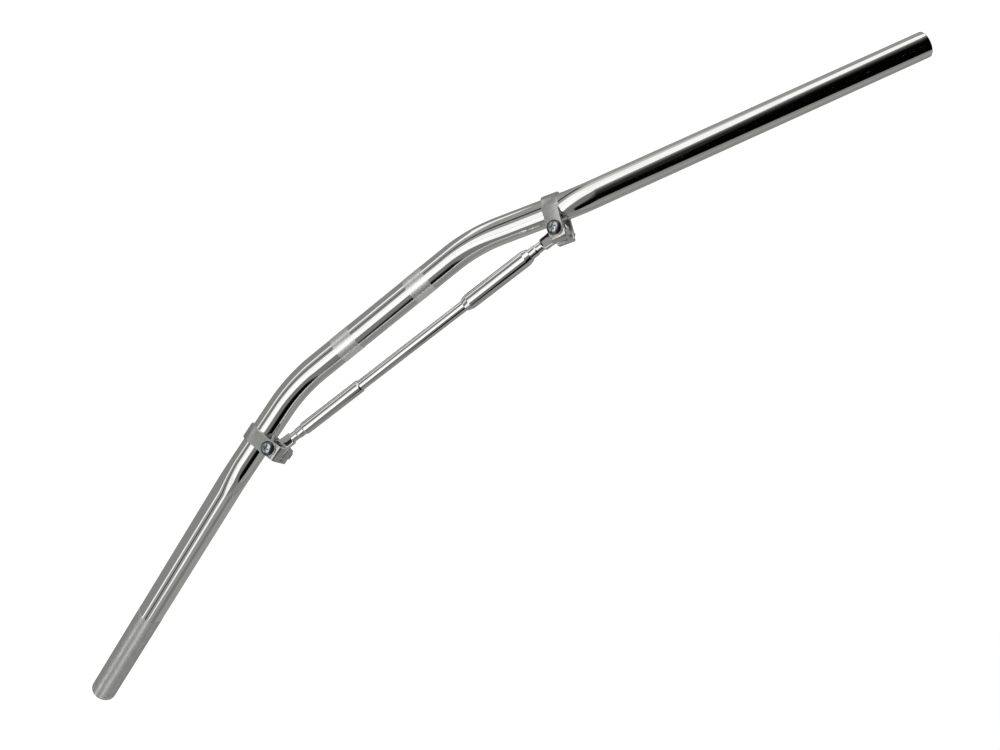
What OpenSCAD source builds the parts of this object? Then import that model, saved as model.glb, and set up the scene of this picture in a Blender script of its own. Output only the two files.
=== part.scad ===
// Handlebar with a bolt-on cross brace. One bent tube carries two strap clamps, and an
// adjustable brace ties its two rising sections together.
// X runs along the bar with the plain grip on +X and the knurled grip on -X, +Y points
// forwards and +Z points up. The origin is the middle of the bar, on the tube's axis.

/* [Bar tube] */
// Outside diameter of the bar tube
bar_d = 22.2; // [20:0.1:25.4]
// Wall thickness of the bar tube
bar_wall = 2; // [1.2:0.1:3]
// Straight length between the two rise bends
centre_len = 141; // [110:1:220]
// Angle of each rise bend
rise_angle = 19; // [12:1:40]
// Straight length of each rising section
rise_len = 55; // [34:1:120]
// Angle of each bend between a rising section and its grip
sweep_angle = 32; // [5:1:60]
// Roll of that bend about the rising section, where 90 sweeps straight back
sweep_roll = 117; // [0:1:135]
// Straight length of each grip section
grip_len = 305; // [200:1:350]
// Centreline radius of the rise bends
rise_bend_r = 140; // [60:1:240]
// Centreline radius of the sweep bends
sweep_bend_r = 45; // [40:1:120]
// How far the tube's wall draws in over its bends
bend_draw = 0.02; // [0.02:0.01:0.05]
// Chamfer at the ends of the tube
end_chamfer = 0.8; // [0.3:0.1:1.2]

/* [Knurled bands] */
// Height that the knurl stands proud of the tube
knurl_h = 0.2; // [0.05:0.05:0.4]
// Length of the knurled grip, measured from the tube's end
knurl_grip_len = 125; // [60:1:150]
// Width of each knurled band that a bar clamp bites on
knurl_seat_w = 18.5; // [10:0.5:30]
// Distance between the middles of the two knurled bands
knurl_seat_pitch = 77; // [60:1:100]

/* [Strap clamps] */
// Distance from the middle of the left clamp to the start of the sweep bend
left_clamp_to_bend = 26; // [7:1:32]
// Distance from the middle of the right clamp to the start of the sweep bend
right_clamp_to_bend = 7; // [7:1:32]
// Width of the strap along the bar
strap_w = 13; // [12.5:0.5:18]
// Thickness of the strap
strap_t = 1.8; // [1.2:0.1:3]
// Thickness of the folded fork inside the strap
fork_t = 1.6; // [1:0.1:2.5]
// Outside radius of the fork's folds
fork_fold_r = 3; // [2.6:0.1:5]

/* [Clamp screws] */
// Thread diameter of the clamp screw
screw_d = 6; // [5:1:8]
// Length of thread that stands out of the nut
screw_tail = 3; // [1:0.5:8]
// Diameter of the domed head
head_d = 12; // [10:0.5:12.5]
// Height of the domed head
head_h = 4.4; // [3:0.1:6]
// Width of the cross recess over its wings
recess_w = 6.2; // [4:0.1:7]
// Thickness of one wing of the cross recess
recess_wing = 1.3; // [0.8:0.1:2]
// Depth of the cross recess
recess_depth = 2.6; // [1.5:0.1:3.5]
// Width of the nut across its flats
nut_af = 10; // [8:0.5:13]
// Height of the nut
nut_h = 5; // [3:0.1:7]
// Outside diameter of the spacer tubes on the screw
spacer_d = 9; // [8:0.5:12]

/* [Cross brace] */
// Thickness of the flattened eyes
eye_t = 4.5; // [3:0.1:7]
// Width of the flattened eyes
eye_w = 13; // [12:0.5:14.5]
// Diameter of the round neck behind each eye
neck_d = 9; // [7:0.1:9.5]
// Distance from the screw's axis to the end of the flat
flat_len = 17; // [14:0.5:25]
// Length over which the round neck is flattened
flatten_len = 12; // [8:0.5:20]
// Length of round neck between each eye and its sleeve
neck_len = 7; // [2:1:25]
// Wall of the wide sleeve around the neck
wide_sleeve_wall = 2.1; // [1.5:0.1:3.5]
// Length of the wide sleeve
wide_sleeve_len = 66; // [50:1:80]
// Wall of the narrow sleeve around the neck
narrow_sleeve_wall = 0.9; // [0.7:0.1:2]
// Length of the narrow sleeve
narrow_sleeve_len = 60; // [50:1:70]
// Diameter of the middle rod
rod_d = 9; // [7:0.1:9.5]
// Length of the taper at each end of the wide sleeve
sleeve_taper = 5; // [2:0.5:8]
// Depth that the necks and the rod reach into the sleeves
engage = 20; // [10:1:24]

/* [Fits] */
// Clearance between a piece and what it wraps or holds
wrap_gap = 0.05; // [0.02:0.01:0.2]
// Clearance between the flattened eyes and the tube
eye_gap = 0.5; // [0.2:0.1:3]
// Clearance between the flattened eyes and the folded end of the fork
fork_gap = 0.6; // [0.2:0.1:3]
// Radial clearance of the screw in its nut, spacers and sleeves' threads
thread_gap = 0.05; // [0.02:0.01:0.1]
// Radial clearance of the screw in the strap, the fork and the eyes
hole_gap = 0.2; // [0.1:0.05:0.5]

/* [Hidden] */
$fn = 64;
LEFT = -1;
RIGHT = 1;
FRONT = 1;
REAR = -1;
bar_r = bar_d / 2;
bore_d = bar_d - 2 * bar_wall;
// The strap's inside half width, which is also the inside face of each of its legs
strap_in = bar_r + wrap_gap;
strap_out = strap_in + strap_t;
// The fork fills the strap's legs
fork_out = strap_in;
fork_in = fork_out - fork_t;
screw_h = bar_r + eye_gap + eye_w / 2;
fork_head = eye_w / 2 + fork_gap;
fork_top = screw_h + fork_head + fork_t;
// The fork's feet stand on the tube, where the tube's height equals the foot's inside face
fork_foot = sqrt(pow(bar_r + wrap_gap, 2) - pow(fork_in, 2));
fork_slot_w = eye_t + 2 * hole_gap;
hole_r = screw_d / 2 + hole_gap;
screw_len = 2 * strap_out + nut_h + screw_tail;
// Where each clamp sits along its rising section
function clamp_pos(side) =
    rise_len - (side == LEFT ? left_clamp_to_bend : right_clamp_to_bend);
// Where each screw's axis crosses the middle plane, as X and Z in the frame of the whole bar
rise_start_x = centre_len / 2 + rise_bend_r * sin(rise_angle);
rise_start_z = rise_bend_r * (1 - cos(rise_angle));
function pivot(side) =
    [side * (rise_start_x + clamp_pos(side) * cos(rise_angle) - screw_h * sin(rise_angle)),
     rise_start_z + clamp_pos(side) * sin(rise_angle) + screw_h * cos(rise_angle)];
brace_span = pivot(RIGHT) - pivot(LEFT);
brace_len = norm(brace_span);
brace_tilt = atan2(brace_span.y, brace_span.x);
// Each eye's flat ends here, and its round neck runs on to the sleeve's shoulder
neck_start = flat_len + flatten_len / 2;
shoulder_x = neck_start + neck_len;
widest_rod = max(neck_d, rod_d);
wide_sleeve_d = widest_rod + 2 * wide_sleeve_wall;
narrow_sleeve_d = widest_rod + 2 * narrow_sleeve_wall;
// Over-run of a cutting shape past the face that it cuts
cut = 1;
// Length over which a bend runs into the straight tube at each end
bend_lap = 1;

// Moves its children from the start of a bend to its end; the bend turns +X up towards +Z
module after_bend(angle, bend_r) {
    translate([bend_r * sin(angle), 0, bend_r * (1 - cos(angle))])
        rotate([0, -angle, 0]) children();
}

// One solid bend of a round rod, starting at the origin along +X and turning up. It runs
// into the straight rod at both ends.
module bend(angle, bend_r, d) {
    lap_angle = bend_lap / bend_r * 180 / PI;
    translate([0, 0, bend_r]) rotate([90, 90, 0]) rotate([0, 0, -lap_angle])
        rotate_extrude(angle = angle + 2 * lap_angle)
            translate([bend_r, 0]) circle(d = d - 2 * bend_draw);
}

// The outline of a raised band with bevelled edges, as points of radius and place
function band(from, to) = [[bar_r, from], [bar_r + knurl_h, from + knurl_h],
                           [bar_r + knurl_h, to - knurl_h], [bar_r, to]];

// A straight solid piece along X, turned to the points of radius and place of its outside
module turned(outside) {
    along_x() for (i = [0 : len(outside) - 2])
        translate([0, 0, outside[i][1]])
            cylinder(r1 = outside[i][0], r2 = outside[i + 1][0],
                     h = outside[i + 1][1] - outside[i][1]);
}

// The outside of the straight middle, with its two knurled bands
centre_outside = concat([[bar_r, -centre_len / 2]],
                        [for (side = [LEFT, RIGHT])
                            each band((side * knurl_seat_pitch - knurl_seat_w) / 2,
                                      (side * knurl_seat_pitch + knurl_seat_w) / 2)],
                        [[bar_r, centre_len / 2]]);
// The outside of the plain grip and of the knurled one, each up to its chamfered end
plain_outside = [[bar_r, 0], [bar_r, grip_len - end_chamfer],
                 [bar_r - end_chamfer, grip_len]];
knurl_start = grip_len - knurl_grip_len;
knurled_outside = [[bar_r, 0], [bar_r, knurl_start],
                   [bar_r + knurl_h, knurl_start + knurl_h],
                   [bar_r + knurl_h, grip_len - end_chamfer - knurl_h],
                   [bar_r - end_chamfer, grip_len]];

// Turns its children's Z axis to run along X
module along_x() {
    rotate([0, 90, 0]) children();
}

// Mirrors its children to the given side of the bar
module on_side(side) {
    mirror([side == LEFT ? 1 : 0, 0, 0]) children();
}

// One half of a rod of diameter d along the bar, from its rise bend to its grip
module half_rod(d, grip_points) {
    translate([centre_len / 2, 0, 0]) {
        bend(rise_angle, rise_bend_r, d);
        after_bend(rise_angle, rise_bend_r) {
            along_x() cylinder(d = d, h = rise_len);
            translate([rise_len, 0, 0]) rotate([sweep_roll, 0, 0]) {
                bend(sweep_angle, sweep_bend_r, d);
                after_bend(sweep_angle, sweep_bend_r) turned(grip_points);
            }
        }
    }
}

module bar() {
    bore_r = bore_d / 2;
    color("gainsboro") difference() {
        union() {
            turned(centre_outside);
            on_side(RIGHT) half_rod(bar_d, plain_outside);
            on_side(LEFT) half_rod(bar_d, knurled_outside);
        }
        turned([[bore_r, -centre_len / 2], [bore_r, centre_len / 2]]);
        for (side = [LEFT, RIGHT])
            on_side(side) half_rod(bore_d, [[bore_r, 0], [bore_r, grip_len + cut]]);
    }
}

// Places its children at a clamp: X outwards along the rising section, Z towards the brace
module at_clamp(side) {
    on_side(side) translate([centre_len / 2, 0, 0]) after_bend(rise_angle, rise_bend_r)
        translate([clamp_pos(side), 0, 0]) children();
}

// The clearance hole for the screw through a clamp's pieces
module screw_hole() {
    translate([0, 0, screw_h]) rotate([90, 0, 0])
        cylinder(r = hole_r, h = 2 * (strap_out + cut), center = true);
}

// The outline of a strap seen along the screw: straight sides and a round end
module strap_side_outline() {
    translate([-strap_w / 2, -strap_out - cut]) square([strap_w, screw_h + strap_out + cut]);
    translate([0, screw_h]) circle(d = strap_w);
}

// The strap seen along the bar: half a ring under the tube and two legs up past the screw
module strap_end_outline() {
    difference() {
        union() {
            circle(r = strap_out);
            translate([-strap_out, 0]) square([2 * strap_out, screw_h + strap_w]);
        }
        circle(r = strap_in);
        translate([-strap_in, 0]) square([2 * strap_in, screw_h + strap_w + cut]);
    }
}

module strap(side) {
    color("silver") at_clamp(side) difference() {
        intersection() {
            rotate([90, 0, 90]) linear_extrude(strap_w, center = true) strap_end_outline();
            rotate([90, 0, 0]) linear_extrude(2 * (strap_out + cut), center = true)
                strap_side_outline();
        }
        screw_hole();
    }
}

// The fork seen along the bar: two flanges inside the strap's legs, and a web over the top
module fork_end_outline() {
    fold_in_r = fork_fold_r - fork_t;
    difference() {
        union() {
            translate([-fork_out, fork_foot])
                square([2 * fork_out, fork_top - fork_fold_r - fork_foot]);
            translate([-fork_out + fork_fold_r, fork_foot])
                square([2 * (fork_out - fork_fold_r), fork_top - fork_foot]);
            for (y = [-1, 1]) translate([y * (fork_out - fork_fold_r), fork_top - fork_fold_r])
                circle(r = fork_fold_r);
        }
        translate([-fork_in, fork_foot - cut])
            square([2 * fork_in, fork_top - fork_fold_r - fork_foot + cut]);
        translate([-fork_in + fold_in_r, fork_foot - cut])
            square([2 * (fork_in - fold_in_r), fork_top - fork_t - fork_foot + cut]);
        for (y = [-1, 1]) translate([y * (fork_in - fold_in_r), fork_top - fork_fold_r])
            circle(r = fold_in_r);
    }
}

module fork(side) {
    slot_end = strap_w / 2 - fork_t;
    color("darkgray") at_clamp(side) difference() {
        rotate([90, 0, 90]) linear_extrude(strap_w, center = true) fork_end_outline();
        screw_hole();
        translate([-strap_w / 2 - cut, -fork_slot_w / 2, screw_h])
            cube([strap_w / 2 + cut + slot_end - fork_slot_w / 2, fork_slot_w,
                  fork_head + fork_t + cut]);
        translate([slot_end - fork_slot_w / 2, 0, screw_h])
            cylinder(d = fork_slot_w, h = fork_head + fork_t + cut);
    }
}

// Places its children on the screw's axis with +Z towards the front
module on_screw(side) {
    at_clamp(side) translate([0, 0, screw_h]) rotate([-90, 0, 0]) children();
}

// The cross recess: two wings that narrow to a point inside a cone
module cross_recess() {
    intersection() {
        cylinder(d1 = recess_w / 4, d2 = recess_w, h = recess_depth);
        for (turn = [0, 90]) rotate([0, 0, turn])
            translate([-recess_w / 2, -recess_wing / 2, 0])
                cube([recess_w, recess_wing, recess_depth + cut]);
    }
}

// The head's section: a short straight rim, then a dome
module head_section() {
    rim_h = head_h / 3;
    dome_r = (pow(head_d / 2, 2) + pow(head_h - rim_h, 2)) / (2 * (head_h - rim_h));
    intersection() {
        square([head_d / 2, head_h]);
        union() {
            square([head_d / 2, rim_h]);
            translate([0, head_h - dome_r]) circle(r = dome_r);
        }
    }
}

module screw(side) {
    color("lightsteelblue") on_screw(side) {
        translate([0, 0, strap_out]) difference() {
            rotate_extrude() head_section();
            translate([0, 0, head_h - recess_depth]) cross_recess();
        }
        translate([0, 0, strap_out - screw_len]) {
            translate([0, 0, screw_d / 8]) cylinder(d = screw_d, h = screw_len - screw_d / 8);
            cylinder(d1 = screw_d * 3 / 4, d2 = screw_d, h = screw_d / 8);
        }
    }
}

module nut(side) {
    nut_ac = nut_af / cos(30);
    color("lightsteelblue") on_screw(side) translate([0, 0, -strap_out - nut_h]) difference() {
        intersection() {
            cylinder(d = nut_ac, h = nut_h, $fn = 6);
            cylinder(d1 = nut_af * 0.95, d2 = nut_af * 0.95 + 4 * nut_h, h = nut_h);
        }
        translate([0, 0, -cut]) cylinder(r = screw_d / 2 + thread_gap, h = nut_h + 2 * cut);
    }
}

// One spacer tube, which fills the width between the fork's flange and the eye
module spacer(side, face) {
    color("gray") on_screw(side) mirror([0, 0, face == REAR ? 1 : 0])
        translate([0, 0, eye_t / 2]) difference() {
            cylinder(d = spacer_d, h = fork_in - eye_t / 2);
            translate([0, 0, -cut])
                cylinder(r = screw_d / 2 + thread_gap, h = fork_in + 2 * cut);
        }
}

// Places its children at the brace's end on one side, with X inwards along the brace
module at_brace_end(side) {
    translate([pivot(side).x, 0, pivot(side).y]) rotate([0, -brace_tilt, 0])
        mirror([side == RIGHT ? 1 : 0, 0, 0]) children();
}

// An eye: a flat paddle round the screw that swells into a round neck
module eye(side) {
    color("gainsboro") at_brace_end(side) {
        difference() {
            rotate([90, 0, 0]) linear_extrude(eye_t, center = true) {
                circle(d = eye_w);
                translate([0, -eye_w / 2]) square([flat_len - flatten_len / 2, eye_w]);
            }
            rotate([90, 0, 0]) cylinder(r = hole_r, h = eye_t + 2 * cut, center = true);
        }
        hull() {
            translate([flat_len - flatten_len / 2 - 0.5, -eye_t / 2, -eye_w / 2])
                cube([0.5, eye_t, eye_w]);
            translate([neck_start, 0, 0]) along_x() cylinder(d = neck_d, h = 0.5, $fn = 32);
        }
        translate([neck_start, 0, 0]) along_x()
            cylinder(d = neck_d, h = neck_len + engage);
    }
}

// A brace sleeve from its shoulder inwards, with tapered ends and a stepped bore
module sleeve(side, d, length, taper) {
    lip_d = neck_d + (d - neck_d) / 3;
    color("gainsboro") at_brace_end(side) translate([shoulder_x, 0, 0]) along_x() difference() {
        union() {
            cylinder(d1 = lip_d, d2 = d, h = taper);
            translate([0, 0, taper]) cylinder(d = d, h = length - 2 * taper);
            translate([0, 0, length - taper]) cylinder(d1 = d, d2 = lip_d, h = taper);
        }
        translate([0, 0, -cut]) cylinder(r = neck_d / 2 + thread_gap, h = engage + cut);
        translate([0, 0, length - engage])
            cylinder(r = rod_d / 2 + thread_gap, h = engage + cut);
    }
}

module brace_rod() {
    rod_start = shoulder_x + narrow_sleeve_len - engage;
    rod_end = brace_len - shoulder_x - wide_sleeve_len + engage;
    color("whitesmoke") at_brace_end(LEFT) translate([rod_start, 0, 0]) along_x()
        cylinder(d = rod_d, h = rod_end - rod_start);
}

bar();
strap(LEFT);  // strap_left
strap(RIGHT);  // strap_right
fork(LEFT);  // fork_left
fork(RIGHT);  // fork_right
screw(LEFT);  // screw_left
screw(RIGHT);  // screw_right
nut(LEFT);  // nut_left
nut(RIGHT);  // nut_right
spacer(LEFT, FRONT);  // spacer_front_left
spacer(LEFT, REAR);  // spacer_rear_left
spacer(RIGHT, FRONT);  // spacer_front_right
spacer(RIGHT, REAR);  // spacer_rear_right
eye(LEFT);  // eye_left
eye(RIGHT);  // eye_right
sleeve(LEFT, narrow_sleeve_d, narrow_sleeve_len, 1);  // sleeve_left
sleeve(RIGHT, wide_sleeve_d, wide_sleeve_len, sleeve_taper);  // sleeve_right
brace_rod();
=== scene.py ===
# %% [markdown]
# # A bright handlebar with a bolt-on cross brace
# The real object is one bent steel tube, plated bright, with a knurled grip at one end and
# two knurled bands in the middle where a stem bites. Two strap clamps hold a thin brace
# that is set to length with a wide and a narrow sleeve. This lesson dresses its CAD model.
# The model is loaded first, because every piece must sit in the same frame as the CAD.

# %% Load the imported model
import math
import bmesh
import bpy
import numpy as np
from mathutils import Matrix


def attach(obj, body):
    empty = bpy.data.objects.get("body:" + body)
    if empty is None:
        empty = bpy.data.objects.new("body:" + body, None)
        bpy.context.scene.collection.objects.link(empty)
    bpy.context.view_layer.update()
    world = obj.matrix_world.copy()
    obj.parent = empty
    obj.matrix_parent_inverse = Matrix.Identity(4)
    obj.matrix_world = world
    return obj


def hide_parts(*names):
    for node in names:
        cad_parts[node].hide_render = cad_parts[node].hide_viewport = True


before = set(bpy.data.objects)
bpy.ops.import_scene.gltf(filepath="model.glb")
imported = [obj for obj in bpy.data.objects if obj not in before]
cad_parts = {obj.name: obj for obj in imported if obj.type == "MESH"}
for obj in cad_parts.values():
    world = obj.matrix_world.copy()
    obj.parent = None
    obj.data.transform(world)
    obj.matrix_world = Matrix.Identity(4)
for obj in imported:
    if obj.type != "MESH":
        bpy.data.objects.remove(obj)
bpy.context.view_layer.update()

# %% [markdown]
# ## The camera
# The view looks down on the front of the bar from the right, and is rolled so far that the
# bar climbs across the frame. A camera's axes are the columns of its matrix, so the three
# directions are worked out first and written straight into it: it looks along minus Z.

# %% Camera at the photograph's angle
look = np.array([-0.2290994, -0.90294482, -0.36359885])
level = np.cross(look, [0.0, 0.0, 1.0])
level /= np.linalg.norm(level)
upright = np.cross(level, look)
roll = math.radians(-147.073)
camera_place = (0.394677, 1.346798, 0.645346)
camera_up = upright * math.cos(roll) + level * math.sin(roll)
camera_right = np.cross(look, camera_up)

camera_data = bpy.data.cameras.new("camera")
camera_data.lens = 69.625
camera_data.sensor_width = 36.0
camera_data.clip_end = 100.0
camera = bpy.data.objects.new("camera", camera_data)
matrix = np.eye(4)
matrix[:3, :3] = np.stack([camera_right, camera_up, -look], axis=1)
matrix[:3, 3] = camera_place
camera.matrix_world = Matrix(matrix.tolist())
bpy.context.scene.collection.objects.link(camera)
bpy.context.scene.camera = camera
print("camera looks along", look.round(3))

# %% [markdown]
# ## One helper that turns a grid of points into a mesh
# Every new piece here is a surface over a grid: rows run along the piece and columns run
# round it. Working on whole arrays keeps the code short and the surface exact, and one
# helper can then write the faces, the UV map and the outward normals for all of them.

# %% Grid to mesh
MM = 0.001


def grid_mesh(name, grid, rows_close=False, columns_close=True, distance=None):
    """A mesh from points given as rows by columns by 3.

    Point (i, j) makes a four-sided face with (i, j + 1), (i + 1, j + 1) and (i + 1, j).
    The last column joins the first when columns_close is set, and so do the rows. The UV
    map holds the distance along each row in metres, and the share of a turn round it.
    """
    rows, columns = grid.shape[:2]
    i = np.arange(rows if rows_close else rows - 1)
    j = np.arange(columns if columns_close else columns - 1)
    i, j = (part.ravel() for part in np.meshgrid(i, j, indexing="ij"))
    below, after = (i + 1) % rows, (j + 1) % columns
    faces = np.stack([i * columns + j, i * columns + after,
                      below * columns + after, below * columns + j], axis=1)
    mesh = bpy.data.meshes.new(name)
    mesh.from_pydata(grid.reshape(-1, 3), [], faces)
    if distance is None:
        distance = np.arange(rows) * MM
    uv = np.stack([distance[i], j / columns, distance[i], (j + 1) / columns,
                   distance[below], (j + 1) / columns, distance[below], j / columns], axis=1)
    mesh.uv_layers.new(name="surface").data.foreach_set("uv", uv.ravel().astype(np.float32))
    return mesh


def piece_from(mesh, sharp_from=32):
    """An object at the origin, merged, closed, facing outwards and smooth but for edges."""
    work = bmesh.new()
    work.from_mesh(mesh)
    bmesh.ops.remove_doubles(work, verts=work.verts, dist=1e-7)
    bmesh.ops.dissolve_degenerate(work, edges=work.edges, dist=1e-7)
    bmesh.ops.recalc_face_normals(work, faces=work.faces)
    for face in work.faces:
        face.smooth = True
    work.to_mesh(mesh)
    work.free()
    mesh.set_sharp_from_angle(angle=math.radians(sharp_from))
    piece = bpy.data.objects.new(mesh.name, mesh)
    bpy.context.scene.collection.objects.link(piece)
    return piece


# %% [markdown]
# ## Finishes
# Bright plate is a mirror, so nearly all that it shows is the studio. What tells a real
# bar from a perfect mirror is small: the polish varies, and hands leave a faint haze. That
# haze is one node group with named inputs, used by every finish here with its own values.
# The satin plate of the straps is the same idea with a coarser grain and a higher haze, and
# the frosted plate of the bands is a little less metallic, which keeps it white.

# %% A node group for haze and fine grain
def haze_group():
    """Slow noise gives the haze, and a stretched fine noise gives the drawn grain."""
    group = bpy.data.node_groups.new("plate haze", "ShaderNodeTree")
    sockets = group.interface
    vector = sockets.new_socket("Vector", in_out="INPUT", socket_type="NodeSocketVector")
    vector.description = "Where on the piece, in metres"
    for label, value in (("Haze Size", 60.0), ("Grain Size", 2500.0), ("Smooth", 0.03),
                         ("Hazy", 0.08), ("Grain", 0.1)):
        sockets.new_socket(label, in_out="INPUT",
                           socket_type="NodeSocketFloat").default_value = value
    sockets.new_socket("Roughness", in_out="OUTPUT", socket_type="NodeSocketFloat")
    sockets.new_socket("Mask", in_out="OUTPUT", socket_type="NodeSocketFloat")
    sockets.new_socket("Height", in_out="OUTPUT", socket_type="NodeSocketFloat")
    node, link = group.nodes.new, group.links.new
    inlet, outlet = node("NodeGroupInput"), node("NodeGroupOutput")
    haze, grain = node("ShaderNodeTexNoise"), node("ShaderNodeTexNoise")
    haze.inputs["Detail"].default_value = 4.0
    haze.inputs["Roughness"].default_value = 0.6
    grain.inputs["Detail"].default_value = 2.0
    spread, mix, add = (node("ShaderNodeMapRange"), node("ShaderNodeMapRange"),
                        node("ShaderNodeMath"))
    spread.inputs["From Min"].default_value = 0.35
    spread.inputs["From Max"].default_value = 0.75
    add.operation = "MULTIPLY_ADD"
    link(inlet.outputs["Vector"], haze.inputs["Vector"])
    link(inlet.outputs["Vector"], grain.inputs["Vector"])
    link(inlet.outputs["Haze Size"], haze.inputs["Scale"])
    link(inlet.outputs["Grain Size"], grain.inputs["Scale"])
    link(haze.outputs["Fac"], spread.inputs["Value"])
    link(grain.outputs["Fac"], add.inputs[0])
    link(inlet.outputs["Grain"], add.inputs[1])
    link(spread.outputs["Result"], add.inputs[2])
    link(add.outputs["Value"], mix.inputs["Value"])
    link(inlet.outputs["Smooth"], mix.inputs["To Min"])
    link(inlet.outputs["Hazy"], mix.inputs["To Max"])
    link(mix.outputs["Result"], outlet.inputs["Roughness"])
    link(spread.outputs["Result"], outlet.inputs["Mask"])
    link(grain.outputs["Fac"], outlet.inputs["Height"])
    return group


plate_haze = haze_group()
print("node group:", plate_haze.name)


# %% One maker for every plated finish
def plated(name, clean, worn, smooth, hazy, haze_size, grain_size, grain, bump,
           stretch=(1.0, 1.0, 1.0), metal=1.0):
    """A metal whose colour runs from clean to worn and whose roughness from smooth to hazy.

    The haze group reads Object coordinates, stretched so that the grain can run one way.
    The metal value is 1 for a bare mirror and a little less for a frosted white surface.
    """
    finish = bpy.data.materials.new(name)
    finish.use_nodes = True
    tree = finish.node_tree
    shader = tree.nodes["Principled BSDF"]
    shader.inputs["Metallic"].default_value = metal
    place, turn, haze, colour, relief = (tree.nodes.new(kind) for kind in (
        "ShaderNodeTexCoord", "ShaderNodeMapping", "ShaderNodeGroup", "ShaderNodeMix",
        "ShaderNodeBump"))
    turn.inputs["Scale"].default_value = stretch
    haze.node_tree = plate_haze
    for label, value in (("Haze Size", haze_size), ("Grain Size", grain_size),
                         ("Smooth", smooth), ("Hazy", hazy), ("Grain", grain)):
        haze.inputs[label].default_value = value
    colour.data_type = "RGBA"
    colour.inputs["A"].default_value = (*clean, 1.0)
    colour.inputs["B"].default_value = (*worn, 1.0)
    relief.inputs["Strength"].default_value = bump
    relief.inputs["Distance"].default_value = 0.05 * MM
    tree.links.new(place.outputs["Object"], turn.inputs["Vector"])
    tree.links.new(turn.outputs["Vector"], haze.inputs["Vector"])
    tree.links.new(haze.outputs["Mask"], colour.inputs["Factor"])
    tree.links.new(colour.outputs["Result"], shader.inputs["Base Color"])
    tree.links.new(haze.outputs["Roughness"], shader.inputs["Roughness"])
    tree.links.new(haze.outputs["Height"], relief.inputs["Height"])
    tree.links.new(relief.outputs["Normal"], shader.inputs["Normal"])
    return finish


bright_plate = plated("bright plate on the tube", (0.94, 0.945, 0.93), (0.87, 0.875, 0.86),
                      0.03, 0.09, 45.0, 1800.0, 0.15, 0.01)
brace_plate = plated("bright plate on the brace", (0.92, 0.925, 0.92), (0.82, 0.825, 0.82),
                     0.02, 0.06, 90.0, 2600.0, 0.15, 0.004)
knurled_plate = plated("dull plate on the knurled grip", (0.94, 0.945, 0.93),
                       (0.80, 0.805, 0.79), 0.26, 0.38, 120.0, 3000.0, 0.4, 0.25)
band_plate = plated("frosted plate on the bands", (0.99, 0.99, 0.99), (0.96, 0.96, 0.96),
                    0.22, 0.32, 200.0, 3000.0, 0.4, 0.2, metal=0.88)
satin_zinc = plated("satin zinc on the straps", (0.76, 0.765, 0.75), (0.60, 0.605, 0.59),
                    0.22, 0.36, 150.0, 900.0, 0.6, 0.30, (1.0, 6.0, 6.0))
blue_zinc = plated("blue zinc on the fasteners", (0.62, 0.66, 0.68), (0.46, 0.50, 0.52),
                   0.14, 0.26, 260.0, 2400.0, 0.4, 0.15)
# The next finish is painted reflection: its near-black colour stands in for the black flag
# mirrored on the steep flanks of the screw heads, not a darker zinc.
painted_reflection_zinc = plated("dark zinc on the heads' flanks", (0.10, 0.105, 0.115),
                   (0.20, 0.21, 0.22), 0.25, 0.40, 260.0, 2400.0, 0.4, 0.15)
print("finishes:", len(bpy.data.materials))


# %% Put a piece in the frame
def settle(piece, finish, slot, *nodes):
    """Gives a piece its finish, lets it ride on the body and stand for its CAD nodes."""
    piece.data.materials.clear()
    piece.data.materials.append(finish)
    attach(piece, "root")
    if nodes:
        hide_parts(*nodes)
    print(f"{piece.name}: {len(piece.data.polygons)} faces, finish {finish.name}")


# %% [markdown]
# ## The bent tube
# On the real bar the tube is drawn straight, bent four times and then plated, so its
# section stays the same circle everywhere. In Blender that is a circle carried along the
# centreline. The centreline is a formula of the distance along it: straights and arcs that
# each stop growing once they are passed. The frame turns with the arcs and never twists.

# %% Centreline of the tube
BAR_R, BORE_R = 11.1 * MM, 9.1 * MM
HALF_CENTRE, RISE_LEN, GRIP_LEN = 70.5 * MM, 55 * MM, 305 * MM
RISE_R, SWEEP_R = 140 * MM, 45 * MM
RISE, SWEEP, SWEEP_ROLL = (math.radians(angle) for angle in (19, 32, 117))
RISE_END = HALF_CENTRE + RISE_R * RISE
SWEEP_START = RISE_END + RISE_LEN
GRIP_START = SWEEP_START + SWEEP_R * SWEEP
BAR_END = GRIP_START + GRIP_LEN


def bar_path(along):
    """Middle and two side axes of the tube at signed distances from the bar's middle.

    The right half runs out along X, turns up by the rise angle, climbs straight, turns by
    the sweep angle in a plane rolled about the climb, and runs straight on. Each term is
    the distance past its start, held at its own length. The sweep turns the side axes
    about the bend's axis by Rodrigues' formula. The left half is the mirror image in X.
    """
    side = np.where(along < 0, -1.0, 1.0)[:, None] ** np.array([1.0, 0.0, 0.0])
    past = np.abs(along)[:, None]
    rise = np.clip((past - HALF_CENTRE) / RISE_R, 0, RISE)
    sweep = np.clip((past - SWEEP_START) / SWEEP_R, 0, SWEEP)
    x, y, z = np.eye(3)
    climb = math.cos(RISE) * x + math.sin(RISE) * z
    over = math.cos(RISE) * z - math.sin(RISE) * x
    toward = math.cos(SWEEP_ROLL) * over - math.sin(SWEEP_ROLL) * y
    hinge = -(math.cos(SWEEP_ROLL) * y + math.sin(SWEEP_ROLL) * over)
    middle = (np.clip(past, 0, HALF_CENTRE) * x
              + RISE_R * (np.sin(rise) * x + (1 - np.cos(rise)) * z)
              + np.clip(past - RISE_END, 0, RISE_LEN) * climb
              + SWEEP_R * (np.sin(sweep) * climb + (1 - np.cos(sweep)) * toward)
              + np.clip(past - GRIP_START, 0, None)
              * (math.cos(SWEEP) * climb + math.sin(SWEEP) * toward))

    def swept(axis):
        return (axis * np.cos(sweep) + np.cross(hinge, axis) * np.sin(sweep)
                + hinge * (axis @ hinge)[..., None] * (1 - np.cos(sweep)))

    front = swept(np.broadcast_to(y, middle.shape))
    above = swept(np.cos(rise) * z - np.sin(rise) * x)
    return middle * side, front * side, above * side


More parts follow.
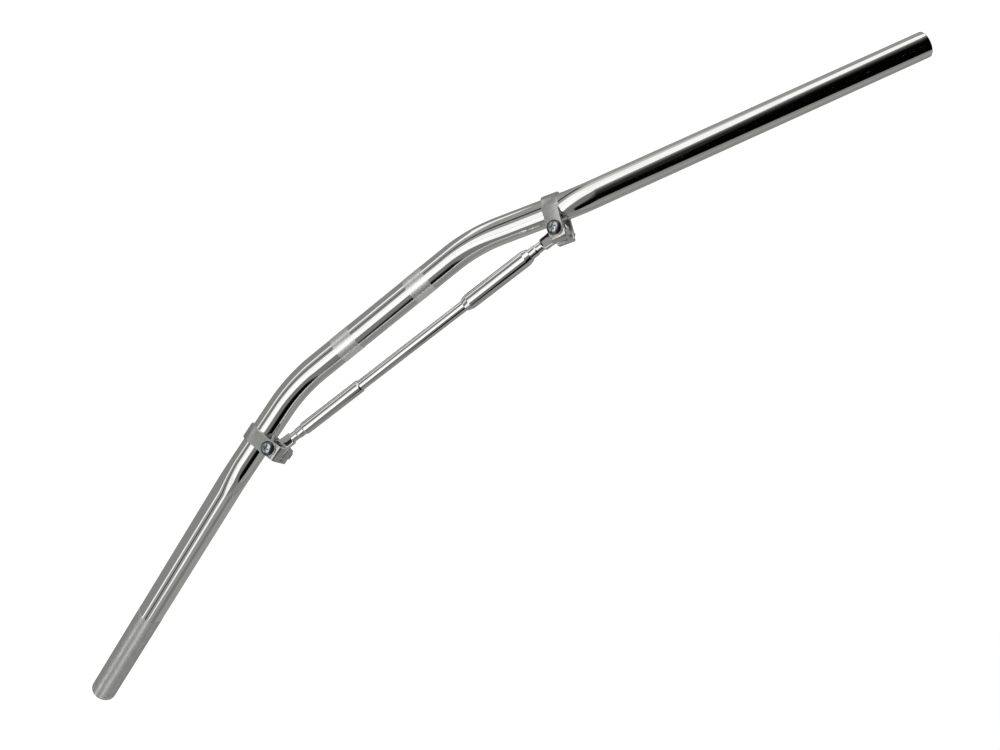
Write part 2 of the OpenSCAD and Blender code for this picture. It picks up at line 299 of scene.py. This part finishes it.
far_end = bar_path(np.array([BAR_END]))[0][0]
print("middle of the plain grip's end, mm:", (far_end / MM).round(2))


# %% [markdown]
# ## Turned profiles
# Turned metal never has a perfectly sharp edge, and an edge with no width catches no light
# in a render. So each profile is drawn as a few corners, and a helper then replaces every
# corner by a small curve. The points are a distance along the piece and a radius.

# %% Round the corners of a profile
def eased(corners, ease, steps=3):
    """Each inner corner becomes a quadratic curve from a point before it to one after it.

    The two points lie at the ease from the corner, or at 45% of the edge if that is less,
    and the curve weighs them and the corner by (1 - t) squared, t squared and 2 t (1 - t).
    """
    corners = np.asarray(corners, dtype=float)
    before, corner, after = corners[:-2], corners[1:-1], corners[2:]
    back, ahead = before - corner, after - corner
    back_len = np.linalg.norm(back, axis=1, keepdims=True)
    ahead_len = np.linalg.norm(ahead, axis=1, keepdims=True)
    start = corner + back / back_len * np.minimum(ease, 0.45 * back_len)
    stop = corner + ahead / ahead_len * np.minimum(ease, 0.45 * ahead_len)
    t = np.linspace(0, 1, steps + 1)[None, :, None]
    curve = ((1 - t) ** 2 * start[:, None] + 2 * t * (1 - t) * corner[:, None]
             + t ** 2 * stop[:, None])
    return np.concatenate([corners[:1], curve.reshape(-1, 2), corners[-1:]])


def turned(profile, path, columns, radius=None):
    """Rings of points: ring i is centred on the path at its distance and has its radius.

    Point j of a ring stands at j / columns of a turn from the first side axis towards the
    second. A radius that changes round the ring is given as rows by columns.
    """
    middle, first, second = path(profile[:, 0])
    turn = 2 * np.pi * np.arange(columns) / columns
    ring = (np.cos(turn)[None, :, None] * first[:, None]
            + np.sin(turn)[None, :, None] * second[:, None])
    radius = profile[:, 1:2] if radius is None else radius
    return middle[:, None] + radius[..., None] * ring


# %% Carry the tube's outline along its centreline
END_CHAMFER, BORE_CHAMFER, END_EASE = 0.8 * MM, 0.25 * MM, 0.22 * MM
end_outline = eased([(BAR_END - 6 * MM, BAR_R), (BAR_END - END_CHAMFER, BAR_R),
                     (BAR_END, BAR_R - END_CHAMFER), (BAR_END, BORE_R + BORE_CHAMFER),
                     (BAR_END - BORE_CHAMFER, BORE_R), (BAR_END - 4 * MM, BORE_R)],
                    END_EASE, steps=4)
stations = np.unique(np.concatenate([
    np.linspace(-HALF_CENTRE, HALF_CENTRE, 9),
    *(side * np.linspace(*ends) for side in (-1, 1) for ends in (
        (HALF_CENTRE, RISE_END, 33), (RISE_END, SWEEP_START, 7),
        (SWEEP_START, GRIP_START, 41), (GRIP_START, BAR_END - 8 * MM, 31)))]).round(9))
skin = np.stack([stations, np.full_like(stations, BAR_R)], axis=1)
bore = np.stack([stations[::-1], np.full_like(stations, BORE_R)], axis=1)
left_outline = end_outline[::-1] * [-1, 1]
tube_profile = np.concatenate([skin, end_outline, bore, left_outline])
tube_grid = turned(tube_profile, bar_path, columns=160)
tube = piece_from(grid_mesh("tube", tube_grid, rows_close=True,
                            distance=tube_profile[:, 0]))
settle(tube, bright_plate, "bar", "bar")

# %% [markdown]
# ## The knurl
# A knurling tool presses two families of helical grooves into the steel, one winding each
# way, which leaves small pyramids. A bump map would give the sparkle but a flat outline,
# so the pyramids are real relief here: four grid points to a pitch put a point on every
# groove and every peak. The sleeve's root is sunk in the tube's wall, so nothing floats.

# %% Knurled sleeves
KNURL_H, ROOT_DEPTH = 0.2 * MM, 0.3 * MM


def knurl_relief(distance, turn, pitch, starts):
    """Height of the pyramids, from 0 in a groove to 1 on a peak.

    Each family of grooves is a triangle wave of distance over pitch plus or minus the
    share of a turn times the number of starts. The relief is the lower of the two waves.
    """
    one = (distance / pitch + starts * turn) % 1
    other = (distance / pitch - starts * turn) % 1
    return 1 - np.maximum(np.abs(2 * one - 1), np.abs(2 * other - 1))


def knurled(name, start, stop, starts, finish, depth):
    """A closed sleeve between two distances, with the relief outside and its root inside.

    A point's radius is the peaks' radius less the depth times one minus the relief.
    """
    pitch_count = round((stop - start) / (2 * np.pi * BAR_R / starts))
    pitch = (stop - start) / pitch_count
    distance = np.linspace(start, stop, 4 * pitch_count + 1)
    turn = np.arange(4 * starts) / (4 * starts)
    relief = knurl_relief((distance - start)[:, None], turn[None, :], pitch, starts)
    radius = BAR_R + KNURL_H - depth * (1 - relief)
    rim = np.full((1, 4 * starts), BAR_R - ROOT_DEPTH)
    radius = np.concatenate([rim, radius, rim])
    distance = np.concatenate([distance[:1], distance, distance[-1:]])
    profile = np.stack([distance, distance], axis=1)
    grid = turned(profile, bar_path, 4 * starts, radius)
    sleeve = piece_from(grid_mesh(name, grid, rows_close=True, distance=distance), 80)
    settle(sleeve, finish, "bar")
    print(f"  pitch {pitch / MM:.2f} mm, {pitch_count} by {starts} pyramids")


BARE_RIM, GRIP_KNURL_LEN = 2 * MM, 125 * MM
GRIP_STARTS, GRIP_DEPTH = 48, 0.18 * MM
BAND_AT, BAND_HALF = 38.5 * MM, 9.25 * MM
BAND_STARTS, BAND_DEPTH = 24, 0.10 * MM
knurled("knurled_grip", -BAR_END + BARE_RIM, -BAR_END + GRIP_KNURL_LEN, GRIP_STARTS,
        knurled_plate, GRIP_DEPTH)
for label, seat in (("left", -BAND_AT), ("right", BAND_AT)):
    knurled("knurled_band_" + label, seat - BAND_HALF, seat + BAND_HALF, BAND_STARTS,
            band_plate, BAND_DEPTH)

# %% [markdown]
# ## The cross brace
# The brace is a rod with a threaded sleeve at each end and a flattened eye beyond it. The
# sleeves and the rod are turned parts, so a radius along a straight path makes them. The
# wide sleeve tapers at both ends, and the narrow one only has its edge broken.

# %% Where the brace lies
SCREW_H = 18.1 * MM
LEFT_CLAMP_TO_BEND, RIGHT_CLAMP_TO_BEND = 26 * MM, 7 * MM
CLAMP_AT = {"left": -(SWEEP_START - LEFT_CLAMP_TO_BEND),
            "right": SWEEP_START - RIGHT_CLAMP_TO_BEND}


def clamp_frame(side):
    """Middle, outward, forward and upward axes of a clamp on its rising section."""
    middle, front, above = (row[0] for row in bar_path(np.array([CLAMP_AT[side]])))
    return middle, np.cross(front, above), front, above


pivot = {side: clamp_frame(side)[0] + SCREW_H * clamp_frame(side)[3] for side in CLAMP_AT}
brace_len = np.linalg.norm(pivot["right"] - pivot["left"])
brace_way = (pivot["right"] - pivot["left"]) / brace_len


def straight(origin, way, first):
    """A path whose middle is the origin plus the distance times its direction."""
    second = np.cross(way, first)

    def path(along):
        middle = origin + along[:, None] * way
        return middle, np.broadcast_to(first, middle.shape), np.broadcast_to(
            second, middle.shape)
    return path


forwards = np.array([0.0, 1.0, 0.0])
brace_path = straight(pivot["left"], brace_way, forwards)
print(f"brace {brace_len / MM:.1f} mm between its screws")

# %% Sleeves and rod
NECK_R, SHOULDER, ENGAGE = 4.5 * MM, 30 * MM, 20 * MM
NARROW_LEN, NARROW_R, NARROW_TAPER = 60 * MM, 5.4 * MM, 1 * MM
WIDE_LEN, WIDE_R, WIDE_TAPER = 66 * MM, 6.6 * MM, 5 * MM
SLIP, MOUTH = 0.05 * MM, 3 * MM


def turned_piece(name, corners, path, finish, slot, *nodes, ease=0.2 * MM, columns=96,
                 closed=True):
    """A turned part from its corners; a closed outline is joined back to its start."""
    profile = eased(corners, ease)
    grid = turned(profile, path, columns)
    piece = piece_from(grid_mesh(name, grid, rows_close=closed, distance=profile[:, 0]))
    settle(piece, finish, slot, *nodes)


def sleeve_corners(start, length, radius, taper):
    """Bore, lip, taper, barrel, taper, lip and bore; the lip is a third of the wall high."""
    lip = NECK_R + (radius - NECK_R) / 3
    stop, hole = start + length, NECK_R + SLIP
    return [(start + MOUTH, hole), (start, hole), (start, lip), (start + taper, radius),
            (stop - taper, radius), (stop, lip), (stop, hole), (stop - MOUTH, hole)]


turned_piece("sleeve_narrow",
             sleeve_corners(SHOULDER, NARROW_LEN, NARROW_R, NARROW_TAPER),
             brace_path, brace_plate, "brace", "sleeve_left")
wide_start = brace_len - SHOULDER - WIDE_LEN
turned_piece("sleeve_wide", sleeve_corners(wide_start, WIDE_LEN, WIDE_R, WIDE_TAPER),
             brace_path, brace_plate, "brace", "sleeve_right")
rod_start, rod_stop = SHOULDER + NARROW_LEN - ENGAGE, wide_start + ENGAGE
turned_piece("rod", [(rod_start, 0), (rod_start, NECK_R), (rod_stop, NECK_R),
                     (rod_stop, 0)], brace_path, brace_plate, "brace_rod", "brace_rod",
             closed=False)

# %% [markdown]
# ## Sections that are not round
# The eyes are pressed flat from round bar, which leaves a small step before the neck, and
# the straps are bent from sheet. Both are a rounded rectangle carried along a path: when
# its corner radius equals its half sizes it is a circle, and when the corner is small it
# is a flat. So one outline serves for both.

# %% Rounded rectangles along a path
def rounded_outline(half_first, half_second, corner, steps=6):
    """Outlines as rows by points by 2, from half sizes and a corner radius for each row.

    Each quarter is an arc of the corner radius about a point that lies one corner radius
    inside both half sizes. The flats are the gaps between the quarters.
    """
    quarter = np.repeat(np.arange(4), steps)
    angle = np.tile(np.linspace(0, np.pi / 2, steps), 4) + quarter * np.pi / 2
    sign_first = np.array([1, -1, -1, 1])[quarter]
    sign_second = np.array([1, 1, -1, -1])[quarter]
    corner = np.minimum(corner, np.minimum(half_first, half_second))[:, None]
    first = sign_first * (half_first[:, None] - corner) + corner * np.cos(angle)
    second = sign_second * (half_second[:, None] - corner) + corner * np.sin(angle)
    return np.stack([first, second], axis=2)


def carried(outline, middle, first, second):
    """Each outline point is its middle plus its two numbers times the two side axes."""
    return (middle[:, None] + outline[..., :1] * first[:, None]
            + outline[..., 1:] * second[:, None])


# %% Flattened eyes
EYE_HALF, EYE_HALF_T = 6.5 * MM, 2.25 * MM
round_off = np.linspace(-np.pi / 2, 0, 15)
eye_x = np.concatenate([EYE_HALF * np.sin(round_off), np.array([
    2, 3.5, 5, 6, 7, 8, 9, 10, 11, 12.5, 14, 15.5, 16.7, 17, 17.3, 17.7, 18, 18.3, 23,
    23.3, 23.6, 24, 24.4, 30, 49, 49]) * MM])
knots = np.array([-6.5, 3.5, 9, 11, 17, 18, 23.3, 24.1, 49]) * MM
half_wide = np.interp(eye_x, knots, np.array([6.5, 6.5, 5.2, 5, 5, 4, 4, 4.5, 4.5]) * MM)
half_wide[:15] = np.maximum(EYE_HALF * np.cos(round_off), 0)
half_thick = np.interp(eye_x, knots, np.array([
    2.25, 2.25, 2.25, 2.25, 2.3, 4, 4, 4.5, 4.5]) * MM)
eye_corner = np.interp(eye_x, knots, np.array([
    0.5, 0.5, 0.5, 0.6, 0.9, 4, 4, 4.5, 4.5]) * MM)
half_wide[-1] = half_thick[-1] = 0.0
for side, origin, way in (("left", pivot["left"], brace_way),
                          ("right", pivot["right"], -brace_way)):
    middle, first, second = straight(origin, way, forwards)(eye_x)
    grid = carried(rounded_outline(half_thick, half_wide, eye_corner), middle, first,
                   second)
    eye = piece_from(grid_mesh("eye_" + side + "_pressed", grid, distance=eye_x))
    settle(eye, brace_plate, "brace", "eye_" + side)

# %% [markdown]
# ## The strap clamps
# Each strap is a flat steel strip that goes round the tube and up both sides of the brace,
# with rounded ends under the screw. It is the same rounded rectangle, carried down one
# leg, round half a circle and up the other leg. Its width follows a circle at each end.

# %% Straps
STRAP_HALF, STRAP_T, STRAP_CORNER = 6.5 * MM, 1.8 * MM, 0.4 * MM
STRAP_GAP, LEG_FOOT = 0.05 * MM, 9 * MM
strap_r = BAR_R + STRAP_GAP + STRAP_T / 2
tip = np.linspace(np.pi / 2, 0, 13)
leg_z = np.concatenate([SCREW_H + STRAP_HALF * np.sin(tip), [LEG_FOOT]])
leg_wide = np.concatenate([STRAP_HALF * np.cos(tip), [STRAP_HALF]])
under = np.linspace(0, np.pi, 49)
strap_y = np.concatenate([np.full_like(leg_z, -strap_r), -strap_r * np.cos(under),
                          np.full_like(leg_z, strap_r)])
strap_z = np.concatenate([leg_z, -strap_r * np.sin(under), leg_z[::-1]])
strap_wide = np.concatenate([leg_wide, np.full_like(under, STRAP_HALF), leg_wide[::-1]])
strap_wide = np.maximum(strap_wide, 0)
outward_y = np.clip(strap_y / strap_r, -1, 1)
outward_z = np.where(strap_z < 0, strap_z / strap_r, 0.0)
for side in ("left", "right"):
    origin, outwards, front, above = clamp_frame(side)
    middle = origin + strap_y[:, None] * front + strap_z[:, None] * above
    thick_way = outward_y[:, None] * front + outward_z[:, None] * above
    outline = rounded_outline(strap_wide, np.full_like(strap_wide, STRAP_T / 2),
                              np.full_like(strap_wide, STRAP_CORNER))
    grid = carried(outline, middle, np.broadcast_to(outwards, middle.shape), thick_way)
    strap = piece_from(grid_mesh("strap_" + side + "_bent", grid), 40)
    settle(strap, satin_zinc, "strap", "strap_" + side)


# %% [markdown]
# ## Nuts and spacers
# A nut is a hexagon whose corners were cut by a cone, so its radius is the smaller of two
# formulas: the hexagon's, which depends on the angle, and the cone's, which grows with the
# distance from the outer face. The spacers are plain turned tubes with broken edges.

# %% Nuts
def hexagon(turn, across_flats):
    """Distance to a hexagon's side: half the width over the cosine from its middle."""
    return across_flats / 2 / np.cos((turn % (1 / 6)) * 2 * np.pi - np.pi / 6)


NUT_FLATS, NUT_COLUMNS = 10 * MM, 72
strap_out = strap_r + STRAP_T / 2
nut_out = np.array([5.0, 5.0, 4.98, 4.9, 4.8, 4.7, 4.6, 4.5, 4.4, 0.1, 0.0, 0.0]) * MM
cone = np.array([3.35, 4.6, 4.75, 4.95, 5.15, 5.35, 5.55, 5.75, 5.95, 5.95, 5.85,
                 3.05]) * MM
nut_turn = np.arange(NUT_COLUMNS) / NUT_COLUMNS
nut_radius = np.minimum(hexagon(nut_turn, NUT_FLATS)[None, :], cone[:, None])
nut_profile = np.stack([strap_out + nut_out, cone], axis=1)
for side in ("left", "right"):
    _, outwards, front, _ = clamp_frame(side)
    back_path = straight(pivot[side], -front, outwards)
    grid = turned(nut_profile, back_path, NUT_COLUMNS, nut_radius)
    nut = piece_from(grid_mesh("nut_" + side + "_hex", grid, rows_close=True), 25)
    settle(nut, blue_zinc, "nut", "nut_" + side)

# %% Spacers
SPACER_R, HOLE_R, SPACER_END = 4.5 * MM, 3.05 * MM, 9.5 * MM
spacer_corners = [(5 * MM, HOLE_R), (EYE_HALF_T, HOLE_R), (EYE_HALF_T, SPACER_R),
                  (SPACER_END, SPACER_R), (SPACER_END, HOLE_R), (7 * MM, HOLE_R)]
for side in ("left", "right"):
    _, outwards, front, _ = clamp_frame(side)
    for place, way in (("front", front), ("rear", -front)):
        turned_piece(f"spacer_{place}_{side}_tube", spacer_corners,
                     straight(pivot[side], way, outwards), blue_zinc, "spacer",
                     f"spacer_{place}_{side}", columns=48)


# %% [markdown]
# ## Forks and screws
# The fork is folded sheet with a slot, and the screw's head has a cross recess. Their CAD
# solids already have the right planes, so a formula would only repeat them. A copy of each
# is merged into one skin and a narrow Bevel modifier breaks its edges, as pressing does.
# The faces of a screw further from its axis than its dome get a painted dark reflection: a
# near-black zinc colour that stands in for the black flag mirrored on the steep flank.

# %% Break the edges of two CAD shapes
def softened(node, name, width, finish, slot):
    """A merged copy of a CAD node with a bevel on every edge that turns over 30 degrees."""
    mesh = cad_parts[node].data.copy()
    mesh.name = name
    work = bmesh.new()
    work.from_mesh(mesh)
    bmesh.ops.remove_doubles(work, verts=work.verts, dist=1e-6)
    bmesh.ops.dissolve_limit(work, angle_limit=math.radians(0.5), verts=work.verts,
                             edges=work.edges)
    for face in work.faces:
        face.smooth = True
    work.to_mesh(mesh)
    work.free()
    piece = bpy.data.objects.new(name, mesh)
    bpy.context.scene.collection.objects.link(piece)
    bevel = piece.modifiers.new("broken edges", "BEVEL")
    bevel.width = width
    bevel.segments = 2
    bevel.limit_method = "ANGLE"
    bevel.angle_limit = math.radians(30)
    bevel.harden_normals = True
    settle(piece, finish, slot, node)
    return piece


DOME_R = 3.9 * MM
for side in ("left", "right"):
    softened("fork_" + side, f"fork_{side}_folded", 0.3 * MM, satin_zinc, "fork")
    screw = softened("screw_" + side, f"screw_{side}_pan", 0.15 * MM, blue_zinc, "screw")
    # The second material is the painted dark reflection of the flag on the head's steep
    # flank.
    screw.data.materials.append(painted_reflection_zinc)
    middles = np.empty(3 * len(screw.data.polygons))
    screw.data.polygons.foreach_get("center", middles)
    aside = middles.reshape(-1, 3)[:, [0, 2]] - pivot[side][[0, 2]]
    # Faces beyond the dome's radius get the painted dark reflection.
    flank = (np.linalg.norm(aside, axis=1) > DOME_R).astype(np.int32)
    screw.data.polygons.foreach_set("material_index", flank)
    print(f"  {flank.sum()} faces on the head's dark flank")

# %% [markdown]
# ## The studio
# A mirror has no look of its own, so the studio is part of the finish. The stripes on the
# bar are those of a grey tent: a wide white opening with a lit heart faces the bar, a
# black flag with a soft edge above it gives the deep black stripe, and below it come a
# dark seam and a narrow slit, which gives the thin bright line. The tent is real geometry
# far away, seen by reflections only. The world and the floor are white, and reflections
# leave the floor out, because it would hide the lower cards.

# %% White world and plain light
scene = bpy.context.scene
scene.view_settings.view_transform = "Standard"
world = bpy.data.worlds.new("white room")
scene.world = world
world.use_nodes = True
nodes, links = world.node_tree.nodes, world.node_tree.links
plain = nodes["Background"]
plain.inputs["Color"].default_value = (1.0, 1.0, 1.0, 1.0)
plain.inputs["Strength"].default_value = 0.7
white = nodes.new("ShaderNodeBackground")
white.inputs["Color"].default_value = (1.0, 1.0, 1.0, 1.0)
white.inputs["Strength"].default_value = 1.0
ray, seen, either, choose = (nodes.new(kind) for kind in (
    "ShaderNodeLightPath", "ShaderNodeMath", "ShaderNodeMath", "ShaderNodeMixShader"))
seen.operation = either.operation = "MAXIMUM"
links.new(ray.outputs["Is Camera Ray"], seen.inputs[0])
links.new(ray.outputs["Is Glossy Ray"], seen.inputs[1])
links.new(seen.outputs["Value"], either.inputs[0])
links.new(ray.outputs["Is Transmission Ray"], either.inputs[1])
links.new(either.outputs["Value"], choose.inputs["Fac"])
links.new(plain.outputs["Background"], choose.inputs[1])
links.new(white.outputs["Background"], choose.inputs[2])
links.new(choose.outputs["Shader"], nodes["World Output"].inputs["Surface"])
print("world: white to the camera and to reflections")

# %% Tent cards
TENT_AXIS = np.array([0.693, 0.0, 0.721])
TENT_AXIS /= np.linalg.norm(TENT_AXIS)
TENT_SIDE = np.cross(TENT_AXIS, forwards)
TENT_R = 6.0


def glow(name, colour):
    """A card's cloth: it shines with its own colour, so its distance doesn't matter."""
    cloth = bpy.data.materials.new(name)
    cloth.use_nodes = True
    cloth.node_tree.nodes.remove(cloth.node_tree.nodes["Principled BSDF"])
    shine = cloth.node_tree.nodes.new("ShaderNodeEmission")
    shine.inputs["Color"].default_value = (*colour, 1.0)
    cloth.node_tree.links.new(shine.outputs["Emission"],
                              cloth.node_tree.nodes["Material Output"].inputs["Surface"])
    cloth.cycles.emission_sampling = "NONE"
    return cloth


def tent_card(name, near, far, turns, cloth):
    """A patch of a large sphere about the tent's axis, open wherever no card is made.

    The turns are angles round the axis from the forward way, and near and far are the
    card's edges there, as angles from the axis. A point is the radius times the axis by
    the cosine of its angle, plus its sine times the forward and side ways by the cosine
    and sine of its turn.
    """
    turn = np.linspace(turns[0], turns[-1], 73)
    near, far = (np.interp(turn, turns, np.broadcast_to(edge, len(turns)))
                 for edge in (near, far))
    angle = np.radians(near + (far - near) * np.linspace(0, 1, 25)[:, None])[..., None]
    turn = np.radians(turn)[None, :, None]
    grid = TENT_R * (np.cos(angle) * TENT_AXIS + np.sin(angle)
                     * (np.cos(turn) * forwards + np.sin(turn) * TENT_SIDE))
    mesh = grid_mesh(name, grid, columns_close=False)
    card = bpy.data.objects.new(name, mesh)
    scene.collection.objects.link(card)
    card.data.materials.append(cloth)
    card.visible_camera = card.visible_diffuse = card.visible_shadow = False


grey_cloth = glow("grey tent cloth", (0.300, 0.303, 0.293))
deep_cloth = glow("deeper fold of the tent", (0.245, 0.248, 0.240))
lamp_cloth = glow("lit heart of the opening", (2.0, 2.0, 2.0))
pale_cloth = glow("pale sill", (0.55, 0.55, 0.54))
shade_cloth = glow("shaded brow", (0.19, 0.19, 0.185))
dim_cloth = glow("dim edge of the flag", (0.060, 0.060, 0.058))
dusk_cloth = glow("dusk edge of the flag", (0.018, 0.018, 0.018))
black_cloth = glow("black flag", (0.001, 0.001, 0.001))

# %% Hang the cards
front_turns = (-90, -70, -60, -52, -45, -38, -30, -22, -10, 20, 40, 60, 90)
slot_top = (80, 79, 75.5, 69, 66, 62, 61, 62, 66, 72, 76.5, 80, 99)
flag_edge = (71, 71, 70, 66, 61, 57, 52.5, 48, 42, 42, 50, 61.5, 61.5)
flag_dim = (66, 66, 64, 61, 57, 52.5, 48.5, 44, 37, 33, 43, 60, 60.5)
flag_dusk = (60, 60, 58, 55, 53, 48, 42, 37, 31, 29, 38, 58, 59)
half_turns, whole_turns, back_turns = (-90, 90), (-180, 180), (90, 270)
left_turns, pale_foot = (-90, -70, -50, 0), (112, 112, 110, 106)
for name, near, far, turns, cloth in (
        ("tent_crown", 0, 24, whole_turns, black_cloth),
        ("tent_flag", 24, flag_dusk, front_turns, black_cloth),
        ("tent_flag_dusk", flag_dusk, flag_dim, front_turns, dusk_cloth),
        ("tent_flag_dim", flag_dim, flag_edge, front_turns, dim_cloth),
        ("tent_brow", flag_edge, slot_top, front_turns, shade_cloth),
        ("tent_lamp", 83, 89, (-40, 45), lamp_cloth),
        ("tent_batten", 89.5, 91, (-65, 60), pale_cloth),
        ("tent_pale", (98, 98, 102, 106), pale_foot, left_turns, pale_cloth),
        ("tent_sill_left", pale_foot, 115.8, left_turns, grey_cloth),
        ("tent_sill_right", 106, 115.8, (0, 90), grey_cloth),
        ("tent_seam", 115.8, 120.5, half_turns, dusk_cloth),
        ("tent_apron", 120.5, 132.7, half_turns, grey_cloth),
        ("tent_foot", 139.9, 180, half_turns, deep_cloth),
        ("tent_back_top", 24, 36, back_turns, deep_cloth),
        ("tent_back_high", 36, 58, back_turns, grey_cloth),
        ("tent_back_middle", 58, 78, back_turns, deep_cloth),
        ("tent_back_panel", 78, 92, (90, 104), grey_cloth),
        ("tent_back_fold", 78, 92, (104, 120), shade_cloth),
        ("tent_back_wall", 78, 92, (120, 270), grey_cloth),
        ("tent_back_low", 92, 125, back_turns, grey_cloth),
        ("tent_back_foot", 125, 180, back_turns, deep_cloth)):
    tent_card(name, near, far, turns, cloth)
print("tent cards ready")

# %% Floor and key lamp
REACH, FLOOR_Z = 12.0, -1.2
floor_grid = np.array([[[-REACH, -REACH, FLOOR_Z], [REACH, -REACH, FLOOR_Z]],
                       [[-REACH, REACH, FLOOR_Z], [REACH, REACH, FLOOR_Z]]])
floor = bpy.data.objects.new("floor", grid_mesh("floor", floor_grid, columns_close=False))
scene.collection.objects.link(floor)
paper = bpy.data.materials.new("white paper")
paper.use_nodes = True
nodes, links = paper.node_tree.nodes, paper.node_tree.links
sheet = nodes["Principled BSDF"]
sheet.inputs["Base Color"].default_value = (0.9, 0.9, 0.9, 1.0)
sheet.inputs["Roughness"].default_value = 0.9
sheet.inputs["Specular IOR Level"].default_value = 0.0
lift, ray, together = (nodes.new(kind) for kind in (
    "ShaderNodeEmission", "ShaderNodeLightPath", "ShaderNodeAddShader"))
links.new(ray.outputs["Is Camera Ray"], lift.inputs["Strength"])
lift.inputs["Color"].default_value = (0.45, 0.45, 0.45, 1.0)
links.new(sheet.outputs["BSDF"], together.inputs[0])
links.new(lift.outputs["Emission"], together.inputs[1])
links.new(together.outputs["Shader"], nodes["Material Output"].inputs["Surface"])
floor.data.materials.append(paper)
floor.visible_glossy = False

key_data = bpy.data.lights.new("key", "AREA")
key_data.shape = "DISK"
key_data.size = 1.6
key_data.energy = 14.0
key = bpy.data.objects.new("key", key_data)
key.location = (0.3, 0.9, 1.9)
key.rotation_euler = (-0.45, 0.15, 0.0)
key.visible_glossy = False
scene.collection.objects.link(key)
print("floor and key lamp ready")
